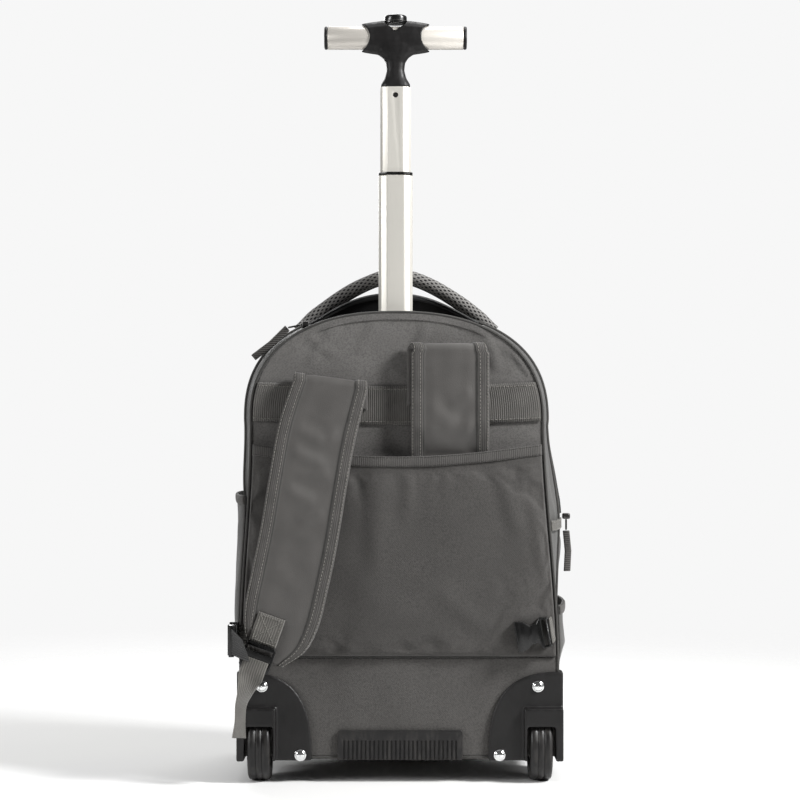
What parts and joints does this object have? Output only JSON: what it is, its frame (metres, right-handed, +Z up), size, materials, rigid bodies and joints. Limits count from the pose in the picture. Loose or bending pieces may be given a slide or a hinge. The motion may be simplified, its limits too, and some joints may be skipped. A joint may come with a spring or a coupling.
{
  "type": "wheeled backpack",
  "caption": "Wheeled fabric backpack with shoulder straps, a strap pocket, moulded wheel housings and a telescopic pole with a T grip.",
  "frame": {"origin": "on the floor, in the middle of the space that the whole object takes up", "axes": "+Z up along the pole, +X across the bag to the right as seen from the strap side, +Y from the strap side into the bag"},
  "size_m": [0.3472, 0.2556, 0.7722],
  "materials": {
    "nylon": "plain woven polyester, mid grey",
    "coated": "smooth coated cloth over foam, mid grey",
    "webbing": "ribbed polypropylene webbing, grey",
    "mesh": "diamond spacer mesh, dark grey",
    "tape": "black zip tape and edge tape",
    "plastic": "fine-grained moulded plastic, near black",
    "gloss": "glossy black acetal",
    "rubber": "dark soft rubber",
    "satin": "satin anodised, silver",
    "chrome": "polished",
    "zinc": "gunmetal zinc"
  },
  "bodies": {
    "bag": {"back_panel": "nylon", "base_back_panel": "nylon", "divider_panel": "nylon", "trolley_gusset_left": "nylon", "trolley_gusset_floor": "nylon", "trolley_gusset_right": "nylon", "main_shell": "nylon", "webbing_band": "webbing", "strap_pocket": "nylon", "pocket_binding": "webbing", "zip_lip_back": "nylon", "zip_lip_rear": "tape", "main_zip": "tape", "zip_end_tab": "nylon", "side_pocket_left": "nylon", "side_binding_left": "webbing", "side_pocket_right": "nylon", "side_binding_right": "webbing", "grab_handle": "mesh", "strap_left": "coated", "strap_right": "coated", "strap_patch": "webbing", "ladder_lock": "gloss", "strap_tail": "webbing", "adjuster_webbing": "webbing", "buckle_left_female": "gloss", "buckle_left_male": "gloss", "buckle_right_female": "gloss", "buckle_tab_right": "webbing", "buckle_tab_left": "webbing", "zip_slider_left": "zinc", "zip_link_left": "zinc", "zip_tag_left": "rubber", "zip_slider_right": "zinc", "zip_link_right": "zinc", "zip_tag_right": "rubber", "housing_left": "plastic", "rivet_upper_left": "chrome", "rivet_lower_left": "chrome", "axle_left": "chrome", "housing_right": "plastic", "rivet_upper_right": "chrome", "rivet_lower_right": "chrome", "axle_right": "chrome", "bottom_guard": "rubber", "front_foot": "plastic", "outer_tube": "satin"},
    "middle_stage": {"middle_tube": "satin", "tube_collar": "plastic"},
    "inner_stage": {"inner_tube": "satin", "grip_hub": "plastic", "grip_bar": "satin", "grip_pin": "zinc", "end_cap_left": "plastic", "end_cap_right": "plastic"},
    "button": {"release_button": "plastic"},
    "wheel_left": {"tyre_left": "rubber", "wheel_hub_left": "plastic"},
    "wheel_right": {"tyre_right": "rubber", "wheel_hub_right": "plastic"}
  },
  "joints": [
    {"name": "pole_lower_stage", "type": "slide", "parent": "bag", "child": "middle_stage", "axis": [0, 0, 1], "range_m": [-0.228, 0]},
    {"name": "pole_upper_stage", "type": "slide", "parent": "middle_stage", "child": "inner_stage", "axis": [0, 0, 1], "range_m": [-0.086, 0]},
    {"name": "release_press", "type": "slide", "parent": "inner_stage", "child": "button", "axis": [0, 0, 1], "range_m": [-0.0024, 0], "stiffness_N_per_m": 400, "springref_m": 0.003},
    {"name": "wheel_left_spin", "type": "hinge", "parent": "bag", "child": "wheel_left", "pos_m": [-0.14465, -0.052, 0.035], "axis": [1, 0, 0], "continuous": true},
    {"name": "wheel_right_spin", "type": "hinge", "parent": "bag", "child": "wheel_right", "pos_m": [0.13735, -0.052, 0.035], "axis": [1, 0, 0], "continuous": true}
  ]
}
